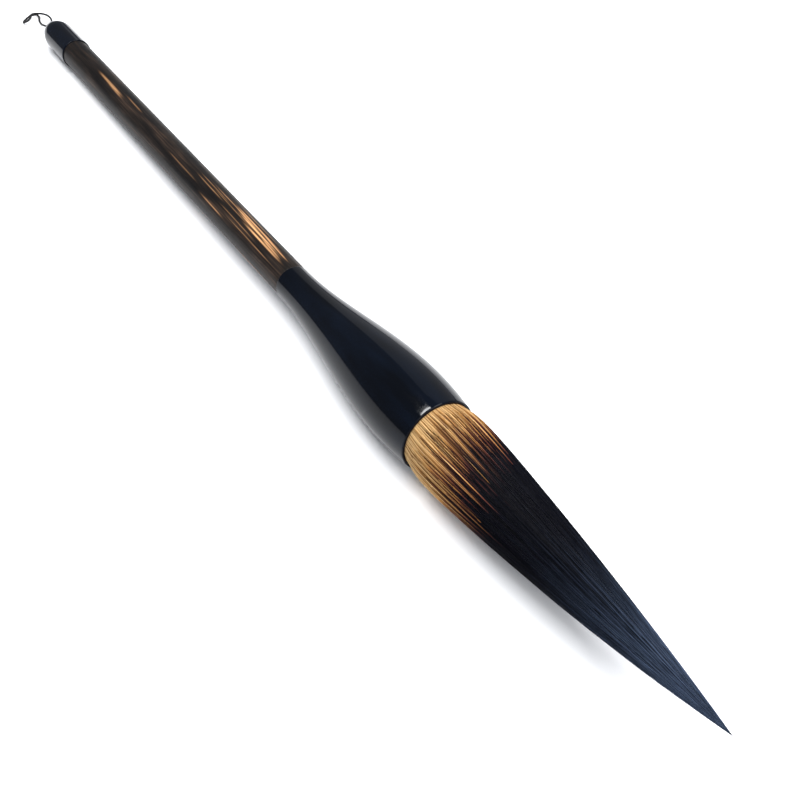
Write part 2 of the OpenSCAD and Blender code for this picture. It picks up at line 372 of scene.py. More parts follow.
class BrushStage(bpy.types.PropertyGroup):
    """The camera and the light"""

    azimuth: bpy.props.FloatProperty(name="Azimuth", default=math.radians(57.2),
                                     subtype="ANGLE", description="Camera's turn from facing +Y")
    elevation: bpy.props.FloatProperty(name="Elevation", default=math.radians(44.75),
                                       subtype="ANGLE", description="Camera's angle above level")
    lens: bpy.props.FloatProperty(name="Lens", default=48.8, min=10, subtype="DISTANCE_CAMERA",
                                  description="Focal length on a 36 mm sensor")
    distance: size_of("Distance", 291.2, "From the camera to the point that it looks at")
    aim_back: size_of("Aim", 17.1, "How far behind the mouth the camera looks")
    floor: colour_of("Floor", "f6f7f9", "The plain pale floor")
    sky: bpy.props.FloatProperty(name="Surround", default=0.25, min=0,
                                 description="Brightness of the even light from all round")


# ---- the camera and the cord ----

# How far the brush's axis passes right of and above the view's middle
AXIS_RIGHT, AXIS_ABOVE = 0.51 * MM, 0.48 * MM

# The loop's route: x and y from its pivot, and z over the surface, in millimetres
LOOP_ROUTE = [
    [-2, 0.6, 5.7], [-4.5, 1.4, 5.5], [-7, 2.3, 5.1], [-10, 3.1, 4.6], [-13, 3.6, 4.1],
    [-16, 3.8, 3.5], [-19, 3.8, 2.9], [-22, 3.3, 2.3], [-24.5, 2.2, 1.8], [-26, 0.6, 1.6],
    [-25.7, -1, 1.7], [-24, -1.9, 1.9], [-22.1, -2.4, 2.1], [-20.7, -3.5, 2], [-20.5, -5, 1.5],
    [-21.7, -6, 0.9], [-23.3, -5.6, 0.5], [-24.9, -4.2, 0.4], [-26.5, -2.5, 0.4],
    [-27.7, -0.7, 0.4], [-27.7, 1, 0.4], [-26.2, 1.9, 0.4], [-24, 1.6, 0.5], [-21, 0.7, 0.7],
    [-18, 0, 1.2], [-15, -0.5, 1.8], [-12, -0.8, 2.6], [-9, -1, 3.5], [-6, -1, 4.4],
    [-4, -0.8, 5], [-2, -0.6, 5.5],
]
# The cord's twist: the length of a full turn, its strands, and how far they stand out
CORD_PITCH, CORD_PLIES, PLY_RELIEF = 2.6 * MM, 3, 0.1


def smooth_route(points, steps, passes):
    """A Catmull-Rom curve through the points, then each point moved to its neighbours' middle
    a number of times, with both ends kept, so that the corners of a rough route go."""
    before, after = 2 * points[:1] - points[1:2], 2 * points[-1:] - points[-2:-1]
    padded = np.concatenate([before, points, after])
    s = (np.arange(steps) / steps)[None, :, None]
    p0, p1, p2, p3 = (padded[i:len(padded) - 3 + i, None] for i in range(4))
    curve = 0.5 * (2 * p1 + (p2 - p0) * s + (2 * p0 - 5 * p1 + 4 * p2 - p3) * s ** 2
                   + (3 * p1 - p0 - 3 * p2 + p3) * s ** 3)
    curve = np.concatenate([curve.reshape(-1, 3), points[-1:]])
    for _ in range(passes):
        curve[1:-1] = 0.5 * curve[1:-1] + 0.25 * (curve[:-2] + curve[2:])
    return curve


def laid_cord(name, route, radius, sides=18):
    """A twisted cord along a route, with rounded ends.

    Round each point of the route, a ring of radius R (1 + relief cos(plies (phi - turn)))
    stands square to the route, where turn grows by a full turn in each pitch of length.
    """
    heading = np.gradient(route, axis=0)
    heading /= np.linalg.norm(heading, axis=1, keepdims=True)
    across = np.cross([0.0, 0.0, 1.0], heading)
    across /= np.linalg.norm(across, axis=1, keepdims=True)
    over = np.cross(heading, across)
    gone = np.concatenate([[0], np.cumsum(np.linalg.norm(np.diff(route, axis=0), axis=1))])
    # the ends are rounded over the last radius of length
    to_end = np.minimum(gone, gone[-1] - gone) / radius
    full = np.sqrt(np.clip(1 - (1 - np.clip(to_end, 0.0, 1)) ** 2, 0.0004, 1))
    phi = 2 * np.pi * np.arange(sides) / sides
    turn = 2 * np.pi * gone[:, None] / CORD_PITCH
    size = radius * full[:, None] * (1 + PLY_RELIEF * np.cos(CORD_PLIES * (phi - turn)))
    points = (route[:, None] + (size * np.cos(phi))[..., None] * across[:, None]
              + (size * np.sin(phi))[..., None] * over[:, None])
    piece = tube(name, points, route[[0, -1]])
    yarn = np.stack(np.broadcast_arrays(gone[:, None], (phi - turn) * radius, 0 * phi), -1)
    put_attribute(piece, "yarn", "FLOAT_VECTOR",
                  np.concatenate([yarn.reshape(-1, 3), np.zeros((2, 3))]))
    return piece


def black_cord(finish):
    """Waxed polyester cord, twisted from three strands: matt black, with fine fibres that
    catch a little light along the twist."""
    material = new_material("Twisted_Polyester_Cord", finish.cord)
    yarn = node(material, "Attribute", {}, "Vector", attribute_name="yarn")
    # fibres of 0.08 mm, drawn five times as thick as real ones, ten times as long as wide
    along = node(material, "Mapping", {"Vector": yarn, "Scale": stretch(0.08 * MM, 10)})
    fibres = node(material, "TexNoise", {"Vector": along, "Scale": 1.0, "Detail": 2.0})
    colour = node(material, "ValToRGB", {"Fac": fibres}, stops=[
        (0.3, scaled(finish.cord, 0.5)), (0.6, finish.cord), (0.85, scaled(finish.cord, 2.6))])
    return finish_surface(material, {"Base Color": colour, "Roughness": 0.72, "IOR": 1.45},
                          fibres, 0.05 * MM)


class BRUSH_OT_camera(bpy.types.Operator):
    """Puts the camera in front of the hair, looking down along the brush"""

    bl_idname = "brush.camera"
    bl_label = "Camera"

    def execute(self, context):
        stage = context.scene.brush_stage
        turn, rise = stage.azimuth, stage.elevation
        back = np.array([math.sin(turn) * math.cos(rise), -math.cos(turn) * math.cos(rise),
                         math.sin(rise)])
        right = np.array([math.cos(turn), math.sin(turn), 0.0])
        up = np.cross(back, right)
        aim = MOUTH - stage.aim_back * ALONG - AXIS_RIGHT * right - AXIS_ABOVE * up
        eye = aim + stage.distance * back
        data = bpy.data.cameras.new("Camera")
        data.lens, data.sensor_width, data.clip_start = stage.lens, 36.0, 0.01
        camera = bpy.data.objects.new("Camera", data)
        camera.matrix_world = standing(right, up, back, eye)
        context.scene.collection.objects.link(camera)
        context.scene.camera = camera
        return {"FINISHED"}


class BRUSH_OT_loop(bpy.types.Operator):
    """Lays the cord's hanging loop from the cap's tip down to the surface and back"""

    bl_idname = "brush.loop"
    bl_label = "Hanging loop"

    def execute(self, context):
        radius = context.scene.brush_sizes.cord_d / 2
        beside = radius + 0.05 * MM
        points = np.array(LOOP_ROUTE) * MM + [PIVOT[0], 0, 0]
        start = PIVOT + [-0.1 * MM, beside, 0]
        end = PIVOT + [-0.1 * MM, -beside, 0]
        route = smooth_route(np.concatenate([start[None], points, end[None]]), steps=14,
                             passes=60)
        route[:, 2] = np.maximum(route[:, 2], (1 + PLY_RELIEF) * radius)
        loop = laid_cord("Loop_Cord", route, radius)
        dress(loop, black_cord(context.scene.brush_finish))
        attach(loop, "loop")
        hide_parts("hanging_loop")
        return {"FINISHED"}


# ---- handle, cap and bell ----

# Short golden streaks in the handle: (a in mm, theta in degrees, length, width in mm, strength),
# and how far in mm a streak has turned aside at its end
STREAK_LEAN = 0.12
GOLDEN_STREAKS = [
    (-102, 76, 24, 0.46, 0.95), (-99, 89, 22, 0.52, 1.0), (-95, 102, 20, 0.5, 1.0),
    (-107, 83, 14, 0.26, 0.8), (-89, 82, 12, 0.36, 0.8), (-90, 96, 10, 0.28, 0.8),
    (-118, 80, 26, 0.22, 0.45), (-117, 94, 20, 0.2, 0.4), (-110, 115, 20, 0.2, 0.4),
    (-104, 62, 22, 0.2, 0.5), (-100, 128, 24, 0.2, 0.4), (-130, 88, 18, 0.2, 0.4),
    (-218, 103, 19, 0.8, 0.5), (-213, 109, 12, 0.4, 0.3),
    (-198, 90, 12, 0.5, 0.2), (-150, 120, 18, 0.3, 0.22), (-132, 100, 16, 0.3, 0.3),
    (-125, 140, 14, 0.3, 0.5), (-96, 200, 18, 0.4, 0.7), (-140, 250, 16, 0.5, 0.8),
    (-190, 300, 18, 0.5, 0.9), (-110, 330, 20, 0.5, 0.9), (-170, 10, 16, 0.4, 0.8),
    (-230, 220, 14, 0.4, 0.6), (-240, 350, 16, 0.5, 0.7),
]


def lacquered_wood(finish):
    """Wenge-like hardwood under clear gloss lacquer: dark, with fine grain along the handle,
    lighter and darker runs of it, short golden streaks and a clear coat that mirrors."""
    material = new_material("Lacquered_Dark_Hardwood", finish.wood)
    along = object_place(material)
    # runs of grain 2.6 mm wide, vessels 0.34 mm wide and dashes 0.6 mm wide
    runs, vessels, dashes = (
        node(material, "TexNoise", {
            "Vector": node(material, "Mapping", {
                "Vector": along, "Scale": stretch(width * MM, times), "Location": (seed,) * 3}),
            "Scale": 1.0, "Detail": detail, "Roughness": rough})
        for width, times, detail, rough, seed in (
            (2.6, 9, 2.0, 0.5, 3.1), (0.34, 60, 3.0, 0.65, 7.7), (0.6, 24, 2.0, 0.5, 1.3)))
    body = node(material, "ValToRGB", {"Fac": runs}, stops=[
        (0.32, finish.wood_dark), (0.5, finish.wood), (0.68, finish.wood_light)])
    pores = node(material, "ValToRGB", {"Fac": vessels}, stops=[
        (0.36, linear("141110")), (0.5, linear("8a827b")), (0.68, linear("e6d6c2"))])
    colour = node(material, "Mix", {0: 0.75, 6: body, 7: pores}, 2, data_type="RGBA",
                  blend_type="OVERLAY")
    dark = node(material, "MapRange", {"Value": dashes, "From Min": 0.52, "From Max": 0.7,
                                       "To Max": 0.7}, interpolation_type="SMOOTHSTEP")
    colour = node(material, "Mix", {0: dark, 6: colour, 7: finish.wood_dark}, 2,
                  data_type="RGBA")
    gold = node(material, "Attribute", {}, "Fac", attribute_name="gold")
    fine = node(material, "MapRange", {"Value": vessels, "From Min": 0.3, "From Max": 0.62,
                                       "To Min": 0.35}, interpolation_type="SMOOTHSTEP")
    gold = node(material, "Math", {0: gold, 1: fine}, operation="MULTIPLY", use_clamp=True)
    colour = node(material, "Mix", {0: gold, 6: colour, 7: finish.wood_gold}, 2,
                  data_type="RGBA")
    return finish_surface(material, {
        "Base Color": colour, "Roughness": 0.6, "IOR": 1.4, "Specular IOR Level": 0.1,
        "Coat Weight": 0.16, "Coat Roughness": 0.2, "Coat IOR": 1.36}, vessels, 0.02 * MM)


def polished_horn(finish):
    """Buffalo horn, turned and buffed to a gloss: blue-black, with faint clouds that run
    along the grain and the shallowest of rings from the lathe."""
    material = new_material("Polished_Buffalo_Horn", finish.horn)
    along = object_place(material)
    # clouds 5 mm wide, and 1.5 mm smears that the buffing wheel left
    clouds, smears = (
        node(material, "TexNoise", {
            "Vector": node(material, "Mapping", {
                "Vector": along, "Scale": stretch(width * MM, times), "Location": (seed,) * 3}),
            "Scale": 1.0, "Detail": detail})
        for width, times, detail, seed in ((5, 5, 3.0, 2.2), (1.5, 3, 4.0, 5.0)))
    colour = node(material, "ValToRGB", {"Fac": clouds}, stops=[
        (0.35, finish.horn), (0.75, finish.horn_cloud)])
    roughness = node(material, "MapRange", {
        "Value": smears, "From Min": 0.3, "From Max": 0.8, "To Min": 0.045, "To Max": 0.1},
        interpolation_type="SMOOTHSTEP")
    # rings of 0.25 mm from the lathe, which buffing has nearly taken away
    rings = node(material, "TexWave", {"Vector": along, "Scale": 1 / (0.25 * MM) / 20,
                                       "Distortion": 0.6, "Detail": 1.0}, "Fac",
                 bands_direction="X")
    height = node(material, "Math", {0: smears, 1: 1.5, 2: rings}, operation="MULTIPLY_ADD")
    return finish_surface(material, {"Base Color": colour, "Roughness": roughness, "IOR": 1.22},
                          height, 0.0015 * MM)


class BRUSH_OT_handle(bpy.types.Operator):
    """Turns the wooden handle with its two tenons and lays its golden streaks"""

    bl_idname = "brush.handle"
    bl_label = "Handle"

    def execute(self, context):
        sizes = context.scene.brush_sizes
        r, tenon_r, sides, rod_rings = sizes.handle_d / 2, sizes.tenon_d / 2, 240, 260
        back_end = CAP_RIM_A - sizes.cap_socket + sizes.end_gap
        front_end = NECK_A + sizes.bell_socket - sizes.end_gap
        rod = np.linspace(CAP_RIM_A + 0.6 * MM, NECK_A - 0.6 * MM, rod_rings)
        profile = rounded(
            (back_end, 0, 0), (back_end, tenon_r, 0.4 * MM), (CAP_RIM_A, tenon_r, 0.1 * MM),
            (CAP_RIM_A, r, 0.25 * MM), *[(a, r, 0) for a in rod], (NECK_A, r, 0.25 * MM),
            (NECK_A, tenon_r, 0.1 * MM), (front_end, tenon_r, 0.4 * MM), (front_end, 0, 0))
        handle = turned("Handle_Wood", profile, sides)
        # each streak leans a little, and falls off as strength exp(-along^4 - across^2)
        a, theta = np.meshgrid(profile[1:-1, 0], 2 * np.pi * np.arange(sides) / sides,
                               indexing="ij")
        gold = np.zeros_like(a)
        for middle, angle, length, width, strength in GOLDEN_STREAKS:
            aside = (theta - math.radians(angle) + np.pi) % (2 * np.pi) - np.pi
            along = (a / MM - middle) / (length / 2)
            across = (aside * r / MM - STREAK_LEAN * along) / (width / 2)
            gold += strength * np.exp(-along ** 4 - across ** 2)
        put_attribute(handle, "gold", "FLOAT", np.append(gold.clip(0, 1).ravel(), [0, 0]))
        dress(handle, lacquered_wood(context.scene.brush_finish))
        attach(handle, "brush")
        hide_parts("handle_shaft")
        return {"FINISHED"}


class BRUSH_OT_horn(bpy.types.Operator):
    """Turns the bell and the end cap from horn"""

    bl_idname = "brush.horn"
    bl_label = "Bell and cap"

    def execute(self, context):
        sizes = context.scene.brush_sizes
        horn = polished_horn(context.scene.brush_finish)
        socket_r = sizes.tenon_d / 2 + sizes.tenon_glue
        for piece, cad_node in ((self.bell(sizes, socket_r), "bell"),
                                (self.cap(sizes, socket_r), "end_cap")):
            dress(piece, horn)
            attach(piece, "brush")
            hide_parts(cad_node)
        return {"FINISHED"}

    def bell(self, sizes, socket_r):
        """From neck to belly, r goes from the neck's to the belly's by 3u^2 - 2u^3, where u is
        the share of the way; from belly to mouth it follows an arc, level at the belly."""
        mouth_r = sizes.mouth_d / 2
        belly_r, neck_r = mouth_r + sizes.belly_swell, sizes.handle_d / 2 + sizes.neck_step
        back, cavity_r = sizes.belly_back, mouth_r - sizes.lip_wall
        socket_a = NECK_A + sizes.bell_socket
        flare = np.linspace(NECK_A + 0.5 * MM, -back, 90)
        arc_r = (back ** 2 + sizes.belly_swell ** 2) / (2 * sizes.belly_swell)
        tuck = np.linspace(-back, -0.6 * MM, 30)[1:]
        flare_r = neck_r + (belly_r - neck_r) * smooth((flare - NECK_A) / (-back - NECK_A))
        tuck_r = belly_r - arc_r + np.sqrt(arc_r ** 2 - (tuck + back) ** 2)
        outside = [(a, r, 0) for a, r in zip(np.append(flare, tuck), np.append(flare_r, tuck_r))]
        profile = rounded(
            (socket_a, 0, 0), (socket_a, socket_r, 0.3 * MM), (NECK_A, socket_r, 0.1 * MM),
            (NECK_A, neck_r, 0.2 * MM), *outside, (0, mouth_r, 0.28 * MM),
            (0, cavity_r, 0.25 * MM), (-sizes.cavity_depth, cavity_r, 0.5 * MM),
            (-sizes.cavity_depth, 0, 0))
        return turned("Bell_Horn", profile, 192)

    def cap(self, sizes, socket_r):
        """A straight tube that ends in half an ellipse, cut where the cord's hole meets it."""
        cap_r = sizes.handle_d / 2 + sizes.cap_step
        hole_r, chamber_r = sizes.cord_hole_d / 2, sizes.chamber_d / 2
        shoulder = CAP_RIM_A - sizes.cap_straight
        bottom = CAP_RIM_A - sizes.cap_socket
        chamber_end = bottom - sizes.chamber_len
        dome_len = sizes.cap_dome * math.sqrt(1 - ((hole_r + 0.3 * MM) / cap_r) ** 2)
        rise = dome_len * np.cos(np.linspace(0, np.pi / 2, 40))
        dome = [(shoulder - back, cap_r * math.sqrt(1 - (back / sizes.cap_dome) ** 2), 0)
                for back in rise]
        middle = (bottom + CAP_RIM_A) / 2
        profile = rounded(
            (middle, socket_r, 0), (bottom, socket_r, 0.2 * MM), (bottom, chamber_r, 0.1 * MM),
            (chamber_end, chamber_r, 0.2 * MM), (chamber_end, hole_r, 0.1 * MM),
            (shoulder - dome_len, hole_r, 0.2 * MM), *dome,
            *[(a, cap_r, 0) for a in np.linspace(shoulder + 1 * MM, CAP_RIM_A - 0.8 * MM, 16)],
            (CAP_RIM_A, cap_r, 0.35 * MM), (CAP_RIM_A, socket_r, 0.08 * MM),
            (middle + 0.1 * MM, socket_r, 0))
        return turned("Cap_Horn", profile, 144)


# ---- the hair ----

# The tuft's outline: a power law from the mouth to the point, gathered where it leaves the bell
TAPER_POWER, TAPER_BLUNT, GATHER_LEN = 1.36, 0.92, 4 * MM
# How far it stands outside the mouth, its gap inside the lip, and its root's glue and resin
TUFT_SWELL, HAIR_CLEAR, ROOT_GLUE, RESIN_LEN = 0.55 * MM, 0.1 * MM, 0.35 * MM, 2.5 * MM
GLUE_END_A = -4 * MM
# The winding's groove: its middle's distance behind the mouth, half its width, and its depth
GROOVE_BACK, GROOVE_HALF, THREAD_D = 13 * MM, 2 * MM, 0.8 * MM
# Points round the mass, and the steps along the mass and along a hair
MASS_SIDES, MASS_STEP, HAIR_STEP = 420, 0.7 * MM, 3.6 * MM
# How much sooner the gold ends on the mass, a painted shade under the cover hairs, and how much
# later on a crest of height 1, so that the troughs between clumps are painted darker
UNDER_SHADE_SHIFT, CREST_SHIFT = 3 * MM, 2.2 * MM
# The share of its length over which a hair narrows, its tip's share of its width, the share of
# its width by which it is sunk into the mass, and the share of that width left at the point
NARROWING, TIP_SHARE, SUNK, POINT_SHARE = 0.38, 0.12, 0.35, 0.3
# The direction in which the hair's point stands aside, and where the gold reaches furthest
SWAY_ANGLE, LONG_GOLD_ANGLE = math.radians(29), math.radians(209)


def tuft_radius(a, sizes):
    """R0 (1 - (a/L)^1.36)^0.92 less a part that fades as exp(-a / 4 mm), where R0 stands
    0.55 mm outside the mouth and L is the hair's length."""
    full = sizes.mouth_d / 2 + TUFT_SWELL
    gathered = full - (sizes.mouth_d / 2 - sizes.lip_wall - HAIR_CLEAR)
    share = np.clip(a / POINT_A, 0, 1)
    free = full * (1 - share ** TAPER_POWER) ** TAPER_BLUNT
    return np.maximum(free - gathered * np.exp(-a.clip(0) / GATHER_LEN), 0.04 * MM)


class Clumps:
    """The hair's clumps: sums of many waves round the tuft that drift slowly along it.

    Each wave is cos(n theta + m a + phase), with n from 26 to 119 crests round the tuft,
    and its weight is in proportion to n^-0.6.
    """

    def __init__(self, rng):
        waves = 64
        self.crests = rng.integers(26, 120, waves)
        self.drift = rng.normal(0, 18.0, waves)
        self.phase = rng.uniform(0, 2 * np.pi, waves)
        self.weight = 1 / self.crests ** 0.6
        self.weight /= np.sqrt((self.weight ** 2).sum() / 2)

    def height(self, a, theta):
        """About -2 to 2, for arrays of a and theta of one shape."""
        out = np.zeros(np.broadcast(a, theta).shape)
        for n, m, phase, weight in zip(self.crests, self.drift, self.phase, self.weight):
            out += weight * np.cos(n * theta + m * a + phase)
        return out


def sway_of(a, sway):
    """The tuft stands aside by sway (a/L)^2 where it is a in front of the mouth."""
    aside = sway * (np.asarray(a).clip(0) / POINT_A) ** 2
    return aside[..., None] * (math.cos(SWAY_ANGLE) * ACROSS + math.sin(SWAY_ANGLE) * UPWARD)


def gold_shift(a, theta):
    """How much further than usual the gold reaches, in metres: 5.4 cos(theta - 209 degrees)
    - 1 mm, which fades away between 25 and 55 mm in front of the mouth."""
    fade = 1 - smooth((a - 25 * MM) / (30 * MM))
    return (5.4 * MM * np.cos(theta - LONG_GOLD_ANGLE) - 1 * MM) * fade


def hair_material(hair):
    """Badger-like animal hair, dressed with gum and dried: gold at the root, through brown to
    a blue-black with only a faint gloss in its shader; the shine along its last third is a
    pale blue-grey painted sheen, and the hairs low between the clumps get painted shade.
    Each hair has its own tone and its own place where the gold ends, which are stored on
    its points as tone and depth (a in metres)."""
    material = new_material("Dressed_Badger_Hair", hair.dark)
    depth = node(material, "Attribute", {}, "Fac", attribute_name="depth")
    tone = node(material, "Attribute", {}, "Fac", attribute_name="tone")
    fibre = node(material, "Attribute", {}, "Vector", attribute_name="fibre")
    # mottling along the hairs: 0.25 mm across and 5 mm long
    along = node(material, "Mapping", {"Vector": fibre, "Scale": stretch(0.25 * MM, 20),
                                       "Location": (0.5, 0.5, 0.5)})
    mottle = node(material, "TexNoise", {"Vector": along, "Scale": 1.0, "Detail": 3.0})
    uneven = node(material, "Math", {0: mottle, 1: 0.06, 2: -0.03}, operation="MULTIPLY_ADD")
    share = node(material, "Math", {0: depth, 1: 1 / POINT_A, 2: uneven},
                 operation="MULTIPLY_ADD")
    half = tuple(0.5 * (p + g) for p, g in zip(hair.pale, hair.gold))
    # the bright hairs run from pale gold through brown to dark, then from 0.62 to the point turn
    # pale blue-grey: a painted sheen
    bright = node(material, "ValToRGB", {"Fac": share}, stops=[
        (0.0, hair.pale), (0.06, half), (0.115, hair.gold), (0.155, hair.brown),
        (0.215, hair.dark), (0.45, hair.dark), (0.62, scaled(hair.point, 0.16)),
        (0.98, hair.point)])
    deep = node(material, "ValToRGB", {"Fac": share}, stops=[
        (0.0, linear("6a4426")), (0.07, linear("4a2e1b")), (0.11, linear("321c14")),
        (0.16, linear("180f12")), (0.2, linear("07070b")), (0.5, linear("07080d")),
        (1.0, linear("0c1219"))])
    colour = node(material, "Mix", {0: tone, 6: bright, 7: deep}, 2, data_type="RGBA")
    shade = node(material, "ValToRGB", {"Fac": mottle}, stops=[
        (0.3, linear("b4aca6")), (0.7, linear("ffffff"))])
    colour = node(material, "Mix", {0: 0.6, 6: colour, 7: shade}, 2, data_type="RGBA",
                  blend_type="MULTIPLY")
    return finish_surface(material, {"Base Color": colour, "Roughness": 0.32, "IOR": 1.5,
                                     "Specular IOR Level": 0.025}, mottle, 0.03 * MM)


def store_hair(piece, chosen, a, shift, tone, theta, spread):
    """Stores what the hair's material reads at each point: depth, which is a less the shift,
    tone, and fibre, a place along the tuft and round a circle as wide as the mouth. chosen
    picks the points from the arrays' grid, and the points in the middle of ends get 0."""
    grids = np.broadcast_arrays(a, shift, tone.clip(0, 1), theta)
    a, shift, tone, theta = (grid.ravel()[chosen] for grid in grids)
    rows = np.zeros((len(piece.data.vertices), 5))
    rows[:len(a)] = np.stack([a - shift, tone, a, spread * np.cos(theta),
                              spread * np.sin(theta)], -1)
    put_attribute(piece, "depth", "FLOAT", rows[:, 0])
    put_attribute(piece, "tone", "FLOAT", rows[:, 1])
    put_attribute(piece, "fibre", "FLOAT_VECTOR", rows[:, 2:])


def piece_borders():
    """The tuft is split halfway between its bends, where only one body carries the hair."""
    middles = [(a + b) / 2 for a, b in zip(BENDS[:-1], BENDS[1:])]
    return [BENDS[0] / 2, *middles]


def carry(piece, index):
    """Piece 0 rides on the brush; each later one has its place baked into its points."""
    if index == 0:
        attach(piece, BODIES[0])
        return
    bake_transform(piece)


class BRUSH_OT_hair_body(bpy.types.Operator):
    """Makes the mass of the tuft, with its clumps, in five pieces that meet end to end"""

    bl_idname = "brush.hair_body"
    bl_label = "Hair, mass"

    def execute(self, context):
        sizes, hair = context.scene.brush_sizes, context.scene.brush_hair
        material, clumps = hair_material(hair), Clumps(np.random.default_rng(SEED))
        borders = piece_borders()
        butt = -sizes.cavity_depth + ROOT_GLUE + RESIN_LEN
        edges = [butt, *borders, POINT_A]
        for index, (start, end) in enumerate(zip(edges[:-1], edges[1:])):
            rings = max(24, int((end - start) / MASS_STEP))
            piece = self.mass(f"Hair_Body_{index}", start, end, rings, sizes, hair, clumps)
            dress(piece, material)
            carry(piece, index)
            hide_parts("hair_core_root" if index == 0 else f"hair_core_{index}")
        return {"FINISHED"}

    def mass(self, name, start, end, rings, sizes, hair, clumps):
        """Rings of radius R(a) - half a hair's width + ridge (0.5 crest - 0.6), from start to
        end, closed by a point in the middle of both ends. Inside the bell the radius is the
        cavity's, less its glue, with a groove for the winding."""
        theta = 2 * np.pi * np.arange(MASS_SIDES)[None, :] / MASS_SIDES
        a = stations(start, end, rings)
        if start < 0:  # close rings where the root changes thickness
            groove = -GROOVE_BACK + np.array([-GROOVE_HALF, GROOVE_HALF])
            steps = np.concatenate([groove - NEAR, groove + NEAR, [GLUE_END_A, 0]])
            a = np.sort(np.append(a, steps))
        a = a[:, None]
        cavity_r = sizes.mouth_d / 2 - sizes.lip_wall
        root_r = cavity_r - ROOT_GLUE
        eased = ((a - GLUE_END_A) / -GLUE_END_A).clip(0, 1)
        in_bell = root_r + (cavity_r - HAIR_CLEAR - root_r) * eased
        in_bell = np.where(np.abs(a + GROOVE_BACK) < GROOVE_HALF, root_r - THREAD_D, in_bell)
        free = tuft_radius(a, sizes)
        crest = clumps.height(a, theta)
        grown = smooth(a / (8 * MM)) * smooth(free / (5 * MM))
        below = hair.width * 0.5 * smooth(a / (2 * MM)) * smooth(free / (3 * MM))
        r = np.where(a <= 0, in_bell, free - below)
        r = np.maximum(r + hair.ridge * (0.5 * crest - 0.6) * grown, 0.03 * MM)
        ends = a[[0, -1], 0]
        piece = tube(name, place(a, r, theta) + sway_of(a, hair.sway),
                     place(ends, 0.0, 0.0) + sway_of(ends, hair.sway))
        # painted shade: the mass under the cover hairs loses its gold sooner and is stored with a
        # deep tone, darker still in the troughs between clumps
        shift = gold_shift(a, theta) - UNDER_SHADE_SHIFT + CREST_SHIFT * crest
        store_hair(piece, slice(None), a, shift, 0.9 - 0.15 * crest, theta, sizes.mouth_d / 2)
        return piece


